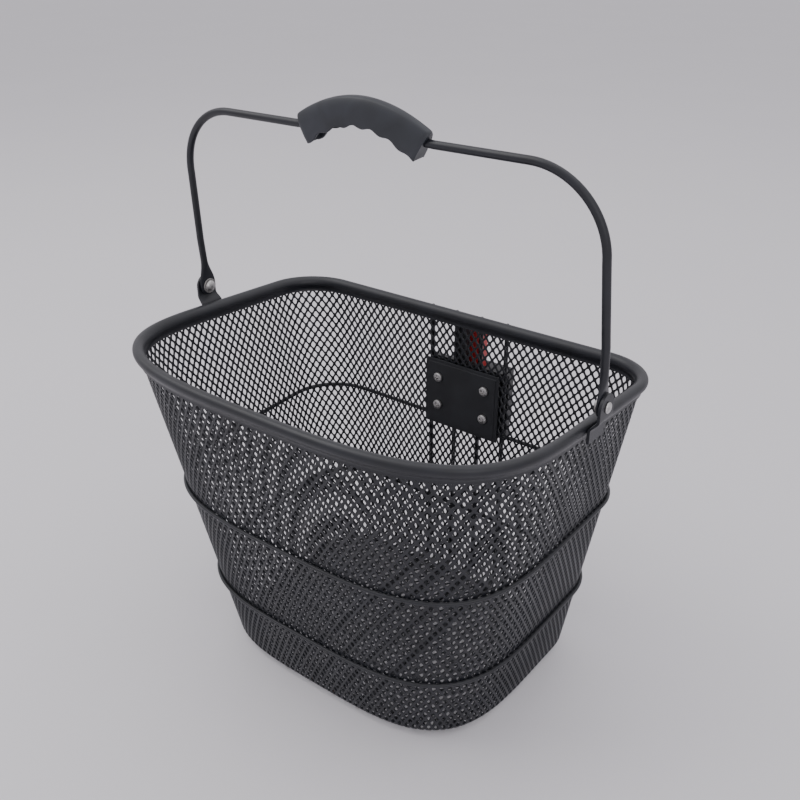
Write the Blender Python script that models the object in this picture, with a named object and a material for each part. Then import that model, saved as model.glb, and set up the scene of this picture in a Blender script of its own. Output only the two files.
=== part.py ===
"""Handlebar basket: expanded-metal bowl, wire carry handle and quick-release bracket.

Metres, +Z up. +Y is the back, the side that faces the handlebar, and X runs along the bar.
The origin lies on the ground under the middle of the whole object's bounding box.
"""
import math

import bpy
import bmesh
from mathutils import Matrix, Vector

GAP = 0.0003                 # clearance between pieces that touch on the real object

# Bowl. The plan at the rim and the plan at the floor are the same kind of D outline.
RIM_HALF_WIDTH = 0.167
RIM_BACK_Y = 0.101
RIM_FRONT_Y = -0.138
RIM_SIDE_END_Y = -0.018      # the straight side ends here and the front curve starts
RIM_BACK_CORNER = 0.040
RIM_FULLNESS = 3.3
RIM_Z = 0.2559               # centre of the rim bead at y = 0
RIM_TILT = -0.047            # rise per metre of y: the front edge is a little higher
FLOOR_HALF_WIDTH = 0.126
FLOOR_BACK_Y = 0.101
FLOOR_FRONT_Y = -0.0923
FLOOR_SIDE_END_Y = 0.030
FLOOR_BACK_CORNER = 0.044
FLOOR_FULLNESS = 3.7
OUTLINE_POINTS = 64
SHEET = 0.0012               # expanded sheet, as flattened
FOLD_RADIUS = 0.007
FOLD_STEPS = 3
FLANGE_WIDTH = 0.010
FLOOR_INSET = 0.006
WALL_TOP_BELOW_RIM = 0.0023

# Wires welded round and under the bowl.
WIRE_R = 0.0018
HOOP_R = 0.0015
HOOP_Z = (0.0667, 0.1524)
HOOP_TILT = (0.036, 0.028)
SUPPORT_X = (-0.036, -0.012, 0.012, 0.036)
SUPPORT_TOP_Z = 0.2530
SUPPORT_BEND_R = 0.012
SUPPORT_FRONT_Y = -0.086

# Rim channel, folded from thin strip round the top edge of the sheet.
BEAD_R = 0.0045
RIM_SHEET = 0.0009
SKIRT_HALF = 0.0019
SKIRT_KNEE_Z = -0.0055
SKIRT_END_Z = -0.0078
BEAD_OPEN_ANGLE = 40.0       # degrees below the horizontal where the bead turns into the skirt

# Carry handle and its two ears.
PIVOT = Vector((0.0, -0.011, 0.2729))
HANDLE_LEAN = 5.0            # degrees towards the front, as it stands
ARM_X = 0.1757
HANDLE_WIRE_R = 0.00275
HANDLE_CORNER_R = 0.048
HANDLE_TOP = 0.1447          # wire centre above the pivots
HANDLE_SHOULDER_X = 0.1743
GRIP_ARCH = 0.0125           # the wire rises by this much inside the grip
GRIP_HALF = 0.056
SPADE_R = 0.0075
SPADE_THICKNESS = 0.0024
EAR_THICKNESS = 0.0020
EAR_FOOT_X = 0.1719
EAR_FOOT_Z = 0.2495
EAR_HEAD_X = 0.1772
PIVOT_HOLE_R = 0.0027
PIVOT_HOLE_X = (0.170, 0.182)     # span of the cutters for the pivot holes
RIVET_R = 0.0024
RIVET_HEAD = ((0.0021, 0.0018), (0.0015, 0.0034), (0.0004, 0.0045), (0.0, 0.0045))   # stand-off, radius
RIVET_TAIL = ((0.0003, 0.0036), (0.0010, 0.0036), (0.0019, 0.0020))
WASHER_R = 0.0060
WASHER_THICKNESS = 0.0008

# Grip: an arched channel with finger scallops, open below, narrow on top.
GRIP_ENDS_X = 0.054
GRIP_CROWN = 0.1680
GRIP_DROP = 0.0165
GRIP_DEPTH = 0.0195
GRIP_WIDTHS = ((0.0064, 0.0), (0.0062, 0.0120), (0.0050, 0.0050), (0.0031, 0.0007))   # half width, depth
GRIP_WALL = 0.0019
GRIP_ROOF = 0.0023
GRIP_SLOT_BELOW_WIRE = 0.0075
GRIP_SCALLOP = 0.0013
GRIP_PITCH = 0.0180
GRIP_SECTIONS = 28

# Plates and bracket on the back.
PLATE_HALF_WIDTH = 0.036
PLATE_Z = (0.1490, 0.2090)
PLATE_THICKNESS = 0.0012
PLATE_BORDER = 0.0030
PLATE_FIELD = 0.0005
SCREW_X = 0.0227
SCREW_Z = (0.1679, 0.1935)
SCREW_R = 0.0020
SCREW_HEAD = ((0.0025, 0.0018), (0.0020, 0.0033), (0.0008, 0.0041), (0.0, 0.0041))   # stand-off, radius
NUT_R, NUT_HEIGHT = 0.0035, 0.0028           # across flats, halved
NUT_SUNK = 0.0031
NUT_POCKET_R, NUT_POCKET_DEPTH = 0.0044, 0.0034
BRACKET_HALF_WIDTH = 0.039
BRACKET_Y = (0.1097, 0.1147)
BRACKET_Z = (0.1480, 0.2073)
POST_X = (-0.0146, -0.0033)
POST_TOP_Z = 0.2470
BOSS_R = 0.0045

# Adapter block on the bracket: housing, sprung release button and latch.
FLANGE_X = 0.0280
HOUSING_X = 0.0255
HOUSING_Y = (0.1150, 0.1200, 0.1405)
HOUSING_Z = (0.1500, 0.1995)
RAIL_WALL = 0.0030
RAIL_BACK_Y = 0.1235
BOLT_X = 0.0195
BOLT_Z = (0.1570, 0.1920)
BOLT_HOLE_R = 0.0022
BOLT_HOLE_DEPTH = 0.0110
BUTTON_HALF_X = 0.0080
BUTTON_Y = (0.1165, 0.1245)
BUTTON_Z = (0.1840, 0.2380)
BUTTON_TRAVEL = 0.0050
BUTTON_CORNER_R = 0.0050
BUTTON_FLOOR_GAP = 0.0010    # left under the button when it is pressed right down
SPRING_BORE_R = 0.0033
SPRING_BORE_DEPTH = 0.0120
SPRING_R = 0.0026
SPRING_WIRE_R = 0.0004
SPRING_TURNS = 6
PAWL_HALF_X = 0.0070
PAWL_Y = (0.1118, 0.1240)
PAWL_Z = (0.1570, 0.1650)

# The basket's own zero plane for y is moved so that the origin is central front to back.
FRAME_Y = -0.5 * (HOUSING_Y[2] + (RIM_FRONT_Y - BEAD_R))

COAT = (0.012, 0.014, 0.020)
PLASTIC = (0.016, 0.018, 0.022)
ZINC = (0.60, 0.60, 0.61)
RED = (0.45, 0.015, 0.012)


# ---------------------------------------------------------------- making solids

def material(name, colour, roughness, metallic):
    mat = bpy.data.materials.get(name)
    if mat is None:
        mat = bpy.data.materials.new(name)
        mat.use_nodes = True
        shader = mat.node_tree.nodes["Principled BSDF"]
        shader.inputs["Base Color"].default_value = (*colour, 1.0)
        shader.inputs["Roughness"].default_value = roughness
        shader.inputs["Metallic"].default_value = metallic
    return mat


def painted():
    return material("black_powder_coat", COAT, 0.45, 0.0)


def moulded():
    return material("black_moulded_plastic", PLASTIC, 0.50, 0.0)


def plated():
    return material("zinc_plated_steel", ZINC, 0.30, 1.0)


def add_object(name, bm, mat, parent, smooth_angle=35.0):
    """Closes off a bmesh as one outward-facing object under its parent empty."""
    bmesh.ops.recalc_face_normals(bm, faces=bm.faces)
    mesh = bpy.data.meshes.new(name)
    bm.to_mesh(mesh)
    bm.free()
    mesh.materials.append(mat)
    mesh.shade_smooth()
    mesh.set_sharp_from_angle(angle=math.radians(smooth_angle))
    obj = bpy.data.objects.new(name, mesh)
    bpy.context.collection.objects.link(obj)
    obj.parent = parent
    return obj


def loft(rings, closed_loop=False):
    """Skins equal rings of points; an open loft gets a face at each end."""
    bm = bmesh.new()
    rows = [[bm.verts.new(p) for p in ring] for ring in rings]
    count = len(rows[0])
    last = len(rows) if closed_loop else len(rows) - 1
    for r in range(last):
        low, high = rows[r], rows[(r + 1) % len(rows)]
        for k in range(count):
            n = (k + 1) % count
            bm.faces.new((low[k], low[n], high[n], high[k]))
    if not closed_loop:
        bm.faces.new(rows[0])
        bm.faces.new(list(reversed(rows[-1])))
    return bm


def box(x, y, z):
    bm = bmesh.new()
    bmesh.ops.create_cube(bm, size=1.0)
    size = Vector((x[1] - x[0], y[1] - y[0], z[1] - z[0]))
    middle = Vector((x[0] + x[1], y[0] + y[1], z[0] + z[1])) / 2.0
    bmesh.ops.transform(bm, matrix=Matrix.Translation(middle) @ Matrix.Diagonal((*size, 1.0)), verts=bm.verts)
    return bm


def lathe(profile, sides, axis, centre, phase=0.0):
    """Turns (distance along the axis, radius) pairs round an X or Y axis through centre."""
    rings = []
    for along, radius in profile:
        ring = []
        for k in range(sides):
            angle = 2.0 * math.pi * (k + phase) / sides
            a, b = radius * math.cos(angle), radius * math.sin(angle)
            ring.append(centre + (Vector((along, a, b)) if axis == "X" else Vector((a, along, b))))
        rings.append(ring)
    return loft(rings)


def prism_x(profile, x):
    """Extrudes a (y, z) outline along X."""
    return loft([[Vector((x[0], *p)) for p in profile], [Vector((x[1], *p)) for p in profile]])


def cylinder(axis, centre, radius, span, sides=20, phase=0.0):
    return lathe([(span[0], radius), (span[1], radius)], sides, axis, centre, phase)


def tool(name, bm, parent):
    obj = add_object(name, bm, painted(), parent)
    obj.hide_render = True
    obj.display_type = "WIRE"
    return obj


def combine(obj, name, bm, parent, operation="DIFFERENCE"):
    """Joins or cuts obj with another solid, which stays as a hidden guide."""
    modifier = obj.modifiers.new(name, "BOOLEAN")
    modifier.operation = operation
    modifier.solver = "EXACT"
    modifier.object = tool(name, bm, parent)


def path_frames(path, side):
    """Directions across a path that stays in the plane whose normal is side."""
    frames = []
    for i, point in enumerate(path):
        before, after = path[max(i - 1, 0)], path[min(i + 1, len(path) - 1)]
        along = (after - before).normalized()
        frames.append((point, side, along.cross(side).normalized()))
    return frames


def round_wire(path, side, radius, sides):
    """A wire of the given radius across its flats, which face along and across side."""
    corner = radius / math.cos(math.pi / sides)
    rings = []
    for point, a, b in path_frames(path, side):
        rings.append([point + corner * (math.cos(t) * a + math.sin(t) * b)
                      for t in (2.0 * math.pi * (k + 0.5) / sides for k in range(sides))])
    return loft(rings)


def arc(centre, radius, start, end, steps):
    """Points (u, v) on an arc, angles in degrees."""
    return [(centre[0] + radius * math.cos(math.radians(start + (end - start) * k / steps)),
             centre[1] + radius * math.sin(math.radians(start + (end - start) * k / steps)))
            for k in range(steps + 1)]


# ---------------------------------------------------------------- the bowl's shape

def plan_outline(half_width, back_y, front_y, side_end_y, corner, fullness):
    """Evenly spaced points round a D plan, from the middle of the back and through +X."""
    half = [Vector((0.0, back_y, 0.0))]
    centre = (half_width - corner, back_y - corner)
    half += [Vector((u, v, 0.0)) for u, v in arc(centre, corner, 90.0, 0.0, 24)]
    steps = 90
    for k in range(1, steps + 1):
        angle = 0.5 * math.pi * k / steps
        x = half_width * math.cos(angle) ** (2.0 / fullness) if k < steps else 0.0
        y = side_end_y - (side_end_y - front_y) * math.sin(angle) ** (2.0 / fullness)
        half.append(Vector((x, y, 0.0)))
    lengths = [0.0]
    for a, b in zip(half, half[1:]):
        lengths.append(lengths[-1] + (b - a).length)
    count = OUTLINE_POINTS // 2
    right = []
    segment = 0
    for k in range(count + 1):
        target = lengths[-1] * k / count
        while segment < len(half) - 2 and lengths[segment + 1] < target:
            segment += 1
        share = (target - lengths[segment]) / (lengths[segment + 1] - lengths[segment])
        right.append(half[segment].lerp(half[segment + 1], min(share, 1.0)))
    left = [Vector((-p.x, p.y, 0.0)) for p in reversed(right[1:-1])]
    return right + left


RIM_PLAN = plan_outline(RIM_HALF_WIDTH, RIM_BACK_Y, RIM_FRONT_Y, RIM_SIDE_END_Y,
                        RIM_BACK_CORNER, RIM_FULLNESS)
FLOOR_PLAN = plan_outline(FLOOR_HALF_WIDTH, FLOOR_BACK_Y, FLOOR_FRONT_Y, FLOOR_SIDE_END_Y,
                          FLOOR_BACK_CORNER, FLOOR_FULLNESS)
FLANGE_Z = 2.0 * WIRE_R + GAP + SHEET / 2.0      # middle of the folded-in edge of the sheet


def rim_point(i):
    p = RIM_PLAN[i % OUTLINE_POINTS]
    return Vector((p.x, p.y, RIM_Z + RIM_TILT * p.y))


def foot_point(i):
    """Where the straight wall ends and the fold begins."""
    p = FLOOR_PLAN[i % OUTLINE_POINTS]
    return Vector((p.x, p.y, FLANGE_Z + FOLD_RADIUS))


def outward(i, share):
    """Level unit normal of the wall at outline point i and height share 0 to 1."""
    a = foot_point(i - 1).lerp(rim_point(i - 1), share)
    b = foot_point(i + 1).lerp(rim_point(i + 1), share)
    along = b - a
    return Vector((-along.y, along.x, 0.0)).normalized()


def wall_row(share, offset, lift=0.0):
    """One closed ring on the wall, offset outwards and raised."""
    return [foot_point(i).lerp(rim_point(i), share) + offset * outward(i, share) + Vector((0.0, 0.0, lift))
            for i in range(OUTLINE_POINTS)]


def ring_sweep(point_at, share_at, section):
    """Carries a closed (outward, up) section round the bowl, leaning with the wall."""
    rings = []
    for i in range(OUTLINE_POINTS):
        normal = outward(i, share_at(i))
        base = point_at(i)
        rise = rim_point(i) - foot_point(i)
        rings.append([base + out * normal + (up / rise.z) * rise for out, up in section])
    return loft(rings, closed_loop=True)


# ---------------------------------------------------------------- basket body

def wall_mesh(parent):
    """Wall sheet: tapered bowl whose lower edge folds in under the floor; holes for the four screws."""
    half = SHEET / 2.0
    top = 1.0 - WALL_TOP_BELOW_RIM / (RIM_Z - FLANGE_Z)
    outer, inner = ([(-FOLD_RADIUS + r * math.cos(a), -r * math.sin(a))
                     for a in (0.5 * math.pi * k / FOLD_STEPS for k in range(FOLD_STEPS + 1))]
                    for r in (FOLD_RADIUS + half, FOLD_RADIUS - half))
    flange_end = -FOLD_RADIUS - FLANGE_WIDTH
    rows = [wall_row(top, half)] + [wall_row(0.0, out, lift) for out, lift in outer]
    rows += [wall_row(0.0, flange_end, -FOLD_RADIUS - half), wall_row(0.0, flange_end, -FOLD_RADIUS + half)]
    rows += [wall_row(0.0, out, lift) for out, lift in reversed(inner)] + [wall_row(top, -half)]
    obj = add_object("wall_mesh", loft(rows, closed_loop=True), painted(), parent)
    through = (RIM_BACK_Y - 0.003, RIM_BACK_Y + 0.003)
    for n, (x, z) in enumerate(screw_places()):
        hole = cylinder("Y", Vector((x, 0.0, z)), SCREW_R + 2.0 * GAP, through, 12)
        combine(obj, f"wall_hole_{n + 1}", hole, parent)


def floor_mesh(parent):
    """Floor sheet, lying on the wall's folded flange."""
    low = -FOLD_RADIUS + SHEET / 2.0 + GAP
    rows = [wall_row(0.0, -FLOOR_INSET, low), wall_row(0.0, -FLOOR_INSET, low + SHEET)]
    add_object("floor_mesh", loft(rows), painted(), parent)


def top_rim(parent):
    """Rim channel: round bead with two skirts that grip the top edge of the wall sheet."""
    start, end = -BEAD_OPEN_ANGLE, 180.0 + BEAD_OPEN_ANGLE
    inner_half = SKIRT_HALF - RIM_SHEET
    section = [(SKIRT_HALF, SKIRT_END_Z), (SKIRT_HALF, SKIRT_KNEE_Z)]
    section += arc((0.0, 0.0), BEAD_R, start, end, 5)
    section += [(-SKIRT_HALF, SKIRT_KNEE_Z), (-SKIRT_HALF, SKIRT_END_Z), (-inner_half, SKIRT_END_Z),
                (-inner_half, SKIRT_KNEE_Z + GAP)]
    section += arc((0.0, 0.0), BEAD_R - RIM_SHEET, end, start, 5)
    section += [(inner_half, SKIRT_KNEE_Z + GAP), (inner_half, SKIRT_END_Z)]
    add_object("top_rim", ring_sweep(rim_point, lambda i: 1.0, section), painted(), parent)


def hoop_share(i, height, tilt):
    """Height share at which the wall meets the plane z = height + tilt * y."""
    low, high = foot_point(i), rim_point(i)
    return (height + tilt * low.y - low.z) / ((high.z - low.z) - tilt * (high.y - low.y))


def hoops(parent):
    """Two wires welded round the outside of the wall."""
    section = arc((SHEET / 2.0 + 4.0 * GAP + HOOP_R, 0.0), HOOP_R, 0.0, 315.0, 7)
    for name, height, tilt in zip(("hoop_lower", "hoop_upper"), HOOP_Z, HOOP_TILT):
        def share(i):
            return hoop_share(i, height, tilt)
        bm = ring_sweep(lambda i: foot_point(i).lerp(rim_point(i), share(i)), share, section)
        add_object(name, bm, painted(), parent)


def support_wires(parent):
    """Four wires down the back, under the floor and forward to the front edge."""
    y_back = RIM_BACK_Y + SHEET / 2.0 + 3.0 * WIRE_R + 3.0 * GAP
    bend = arc((y_back - SUPPORT_BEND_R, WIRE_R + SUPPORT_BEND_R), SUPPORT_BEND_R, 0.0, -90.0, 6)
    route = [(y_back, SUPPORT_TOP_Z), (y_back, 0.130)] + bend + [(0.0, WIRE_R), (SUPPORT_FRONT_Y, WIRE_R)]
    for n, x in enumerate(SUPPORT_X):
        path = [Vector((x, y, z)) for y, z in route]
        wire = round_wire(path, Vector((1.0, 0.0, 0.0)), WIRE_R, 8)
        add_object(f"support_wire_{n + 1}", wire, painted(), parent)


# ---------------------------------------------------------------- carry handle

def ears(parent):
    """Stamped tabs, welded to the rim and joggled outwards to clear the handle arms."""
    head = PIVOT.z + 0.009
    rows = [(EAR_FOOT_Z, 0.0100, 0.0), (0.2590, 0.0100, 0.0), (0.2645, 0.0092, 1.0), (PIVOT.z, 0.0090, 1.0)]
    rows += [(PIVOT.z + 0.0045, 0.0078, 1.0), (PIVOT.z + 0.0078, 0.0045, 1.0), (head, 0.0015, 1.0)]
    for name, side in (("ear_left", -1.0), ("ear_right", 1.0)):
        rings = []
        for z, half, share in rows:
            inner = EAR_FOOT_X + (EAR_HEAD_X - EAR_FOOT_X) * share
            outer = inner + EAR_THICKNESS
            rings.append([Vector((side * x, PIVOT.y + y, z))
                          for x, y in ((inner, -half), (outer, -half), (outer, half), (inner, half))])
        obj = add_object(name, loft(rings), painted(), parent)
        span = sorted(side * x for x in PIVOT_HOLE_X)
        hole = cylinder("X", Vector((0.0, PIVOT.y, PIVOT.z)), PIVOT_HOLE_R, span, 16)
        combine(obj, f"{name}_hole", hole, parent)


def handle_path():
    """Right half of the wire's centre line as (x, height), from the spade up to the middle."""
    bend = (HANDLE_SHOULDER_X - HANDLE_CORNER_R, HANDLE_TOP - HANDLE_CORNER_R)
    points = [(ARM_X, 0.0235), (ARM_X - 0.0006, 0.050), (HANDLE_SHOULDER_X, bend[1])]
    points += arc(bend, HANDLE_CORNER_R, 0.0, 90.0, 8)[1:]
    steps = 7
    for k in range(steps + 1):
        x = GRIP_HALF * (1.0 - k / steps)
        points.append((x, HANDLE_TOP + GRIP_ARCH * 0.5 * (1.0 + math.cos(math.pi * x / GRIP_HALF))))
    return points


def carry_handle(pivot):
    """Bent wire bail. Each end is pressed into a round-ended spade that turns on the rivet."""
    sides = 8
    flat = [(-0.99, 0.0), (-0.80, 0.0), (-0.30, 0.0), (0.30, 0.0), (1.55, 0.0), (2.30, 0.55)]
    rings = []

    def ring(point, across, normal, half_across, half_normal):
        return [point + half_across * math.cos(t) * across + half_normal * math.sin(t) * normal
                for t in (2.0 * math.pi * (k + 0.5) / sides for k in range(sides))]

    y_axis, x_axis = Vector((0.0, 1.0, 0.0)), Vector((1.0, 0.0, 0.0))
    spade = []
    for height, share in flat:
        half = SPADE_R * math.sqrt(max(1.0 - min(height, 0.0) ** 2, 0.0))
        half = half + (HANDLE_WIRE_R - half) * share
        thick = SPADE_THICKNESS / 2.0 + (HANDLE_WIRE_R - SPADE_THICKNESS / 2.0) * share
        stretch = 1.0 / math.cos(math.pi / sides)
        spade.append((Vector((ARM_X, 0.0, height * SPADE_R)), half * stretch, thick * stretch))
    for point, half, thick in spade:
        rings.append(ring(point, y_axis, x_axis, half, thick))
    half_path = [Vector((x, 0.0, h)) for x, h in handle_path()]
    path = half_path + [Vector((-p.x, 0.0, p.z)) for p in reversed(half_path[:-1])]
    for point, a, b in path_frames(path, y_axis):
        rings.append(ring(point, a, -b, HANDLE_WIRE_R, HANDLE_WIRE_R))
    for point, half, thick in reversed(spade):
        rings.append(ring(Vector((-point.x, 0.0, point.z)), y_axis, -x_axis, half, thick))
    obj = add_object("carry_handle", loft(rings), painted(), pivot)
    for name, side in (("left", -1.0), ("right", 1.0)):
        span = sorted(side * x for x in PIVOT_HOLE_X)
        hole = cylinder("X", Vector((0.0, 0.0, 0.0)), PIVOT_HOLE_R, span, 16)
        combine(obj, f"handle_hole_{name}", hole, pivot)


def grip_section(x, hollow):
    """Cross-section at x, narrow on top and flared below; the hollow one is inset by the wall."""
    share = x / GRIP_ENDS_X
    crown = Vector((x, 0.0, GRIP_CROWN - GRIP_DROP * share * share))
    down = Vector((-2.0 * GRIP_DROP * share / GRIP_ENDS_X, 0.0, -1.0)).normalized()
    scallop = GRIP_SCALLOP * math.cos(2.0 * math.pi * (x - 0.005) / GRIP_PITCH)
    edge = GRIP_DEPTH + (0.004 if hollow else scallop)
    wall, roof = (GRIP_WALL, GRIP_ROOF) if hollow else (0.0, 0.0)
    side = [(half - wall, depth + roof if depth else edge) for half, depth in GRIP_WIDTHS]
    profile = [(-half, depth) for half, depth in side] + [(0.0, roof)] + list(reversed(side))
    return [crown + Vector((0.0, a, 0.0)) + d * down for a, d in profile]


def handle_grip(pivot):
    """Moulded grip over the arched wire, open below, with a slot for the wire in each end wall."""
    stations = [GRIP_ENDS_X * (2.0 * k / GRIP_SECTIONS - 1.0) for k in range(GRIP_SECTIONS + 1)]
    obj = add_object("handle_grip", loft([grip_section(x, False) for x in stations]), moulded(), pivot)
    combine(obj, "grip_hollow", loft([grip_section(x, True) for x in stations[1:-1]]), pivot)
    slot = HANDLE_WIRE_R + GAP
    for name, side in (("left", -1.0), ("right", 1.0)):
        span = sorted((side * 0.040, side * 0.062))
        heights = (HANDLE_TOP - GRIP_SLOT_BELOW_WIRE, HANDLE_TOP + slot + 0.0012)
        combine(obj, f"grip_slot_{name}", box(span, (-slot, slot), heights), pivot)


def pivot_hardware(pivot):
    """Solid rivets through arm and ear, each with a plain washer under its inner head."""
    inner_face = ARM_X - SPADE_THICKNESS / 2.0
    washer_out = inner_face - GAP
    washer_in = washer_out - WASHER_THICKNESS
    ear_out = EAR_HEAD_X + EAR_THICKNESS
    middle = Vector((0.0, 0.0, 0.0))
    for name, side in (("left", -1.0), ("right", 1.0)):
        head = washer_in - GAP
        profile = [(head - off, r) for off, r in RIVET_HEAD] + [(head, RIVET_R), (ear_out + GAP, RIVET_R)]
        profile += [(ear_out + off, r) for off, r in RIVET_TAIL]
        rivet = lathe([(side * x, r) for x, r in profile], 16, "X", middle)
        add_object(f"pivot_rivet_{name}", rivet, plated(), pivot)
        ring = [(side * x, r) for x, r in ((washer_in, PIVOT_HOLE_R), (washer_in, WASHER_R),
                                           (washer_out, WASHER_R), (washer_out, PIVOT_HOLE_R))]
        washer = turned_ring(ring, 16, "X", middle)
        add_object(f"pivot_washer_{name}", washer, plated(), pivot)


def turned_ring(section, sides, axis, centre, flat_sides=None):
    """A ring with a hole: a closed (along, radius) section carried once round the axis.

    flat_sides (number, radius) makes everything outside that radius a regular polygon, for nuts.
    """
    rings = []
    for k in range(sides):
        angle = 2.0 * math.pi * k / sides
        ring = []
        for along, radius in section:
            if flat_sides and radius > flat_sides[1]:
                turn = 2.0 * math.pi / flat_sides[0]
                radius = radius / math.cos((angle + turn / 2.0) % turn - turn / 2.0)
            a, b = radius * math.cos(angle), radius * math.sin(angle)
            ring.append(centre + (Vector((along, a, b)) if axis == "X" else Vector((a, along, b))))
        rings.append(ring)
    return loft(rings, closed_loop=True)


# ---------------------------------------------------------------- plates and bracket

def screw_places():
    return [(x, z) for z in SCREW_Z for x in (-SCREW_X, SCREW_X)]


def plate_front_y():
    return RIM_BACK_Y - SHEET / 2.0 - GAP - PLATE_THICKNESS


def backing_plate(parent):
    """Steel plate inside the basket, with a slightly raised field inside its border."""
    front = plate_front_y()
    sheet = box((-PLATE_HALF_WIDTH, PLATE_HALF_WIDTH), (front, front + PLATE_THICKNESS), PLATE_Z)
    obj = add_object("backing_plate", sheet, painted(), parent)
    inner_x = PLATE_HALF_WIDTH - PLATE_BORDER
    field = box((-inner_x, inner_x), (front - PLATE_FIELD, front + 0.0005),
                (PLATE_Z[0] + PLATE_BORDER, PLATE_Z[1] - PLATE_BORDER))
    combine(obj, "plate_field", field, parent, "UNION")
    for n, (x, z) in enumerate(screw_places()):
        hole = cylinder("Y", Vector((x, 0.0, z)), SCREW_R + 2.0 * GAP, (front - 0.003, front + 0.003), 12)
        combine(obj, f"plate_hole_{n + 1}", hole, parent)


def basket_bracket(parent):
    """Moulded bracket behind the bowl: plate, screw bosses, guide rails, latch pocket and button post."""
    y0, y1 = BRACKET_Y
    plate = box((-BRACKET_HALF_WIDTH, BRACKET_HALF_WIDTH), BRACKET_Y, BRACKET_Z)
    obj = add_object("basket_bracket", plate, moulded(), parent)
    combine(obj, "bracket_post", box(POST_X, BRACKET_Y, (BRACKET_Z[1] - 0.004, POST_TOP_Z)), parent, "UNION")
    boss_y = RIM_BACK_Y + SHEET / 2.0 + GAP
    wall_x = FLANGE_X + GAP + 0.0001
    lip_y = HOUSING_Y[1] + 0.0004
    for name, side in (("left", -1.0), ("right", 1.0)):
        rail_x = sorted((side * wall_x, side * (wall_x + RAIL_WALL)))
        combine(obj, f"rail_{name}", box(rail_x, (y1 - 0.001, RAIL_BACK_Y), HOUSING_Z), parent, "UNION")
        lip_x = sorted((side * (HOUSING_X + 0.0004), side * (wall_x + 0.001)))
        combine(obj, f"rail_lip_{name}", box(lip_x, (lip_y, RAIL_BACK_Y), HOUSING_Z), parent, "UNION")
    for n, (x, z) in enumerate(screw_places()):
        boss = cylinder("Y", Vector((x, 0.0, z)), BOSS_R, (boss_y, y0 + 0.001), 16)
        combine(obj, f"boss_{n + 1}", boss, parent, "UNION")
    for n, (x, z) in enumerate(screw_places()):
        hole = cylinder("Y", Vector((x, 0.0, z)), SCREW_R + GAP, (boss_y - 0.001, y1 + 0.001), 12)
        combine(obj, f"boss_hole_{n + 1}", hole, parent)
        pocket = cylinder("Y", Vector((x, 0.0, z)), NUT_POCKET_R, (y1 - NUT_POCKET_DEPTH, y1 + 0.001), 6, 0.5)
        combine(obj, f"nut_pocket_{n + 1}", pocket, parent)
    pocket_x = PAWL_HALF_X + GAP
    pocket = box((-pocket_x, pocket_x), (PAWL_Y[0] - 0.0005, y1 + 0.001), (PAWL_Z[0] - GAP, PAWL_Z[1] + GAP))
    combine(obj, "latch_pocket", pocket, parent)


def plate_fasteners(parent):
    """Four pan-head screws from inside the bowl, with nuts sunk into the bracket."""
    head_y = plate_front_y() - PLATE_FIELD - GAP
    profile = [(head_y - off, r) for off, r in SCREW_HEAD] + [(head_y, SCREW_R), (BRACKET_Y[1] - GAP, SCREW_R)]
    low, high = BRACKET_Y[1] - NUT_SUNK, BRACKET_Y[1] - NUT_SUNK + NUT_HEIGHT
    section = [(low, SCREW_R + GAP), (low, NUT_R), (high, NUT_R), (high, SCREW_R + GAP)]
    for n, (x, z) in enumerate(screw_places()):
        centre = Vector((x, 0.0, z))
        add_object(f"plate_screw_{n + 1}", lathe(profile, 16, "Y", centre), plated(), parent)
        nut = turned_ring(section, 24, "Y", centre, (6, SCREW_R + 2.0 * GAP))
        add_object(f"plate_nut_{n + 1}", nut, plated(), parent)


# ---------------------------------------------------------------- adapter block

def adapter_housing(parent):
    """Moulded housing: rail flange, body with button well and latch channel, bolt holes in its back."""
    y0, y1, y2 = HOUSING_Y
    obj = add_object("adapter_housing", box((-HOUSING_X, HOUSING_X), (y0, y2), HOUSING_Z), moulded(), parent)
    combine(obj, "housing_flange", box((-FLANGE_X, FLANGE_X), (y0, y1), HOUSING_Z), parent, "UNION")
    for n, (x, z) in enumerate((x, z) for z in BOLT_Z for x in (-BOLT_X, BOLT_X)):
        hole = cylinder("Y", Vector((x, 0.0, z)), BOLT_HOLE_R, (y2 - BOLT_HOLE_DEPTH, y2 + 0.001), 12)
        combine(obj, f"bolt_hole_{n + 1}", hole, parent)
    well_x = BUTTON_HALF_X + GAP
    well_z = (BUTTON_Z[0] - BUTTON_TRAVEL - BUTTON_FLOOR_GAP, HOUSING_Z[1] + 0.001)
    well = box((-well_x, well_x), (BUTTON_Y[0] - GAP, BUTTON_Y[1] + GAP), well_z)
    combine(obj, "button_well", well, parent)
    channel_x = PAWL_HALF_X + GAP
    channel_z = (PAWL_Z[0] - GAP, PAWL_Z[1] + GAP)
    channel = box((-channel_x, channel_x), (y0 - 0.001, PAWL_Y[1] + 0.0040), channel_z)
    combine(obj, "latch_channel", channel, parent)


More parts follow.
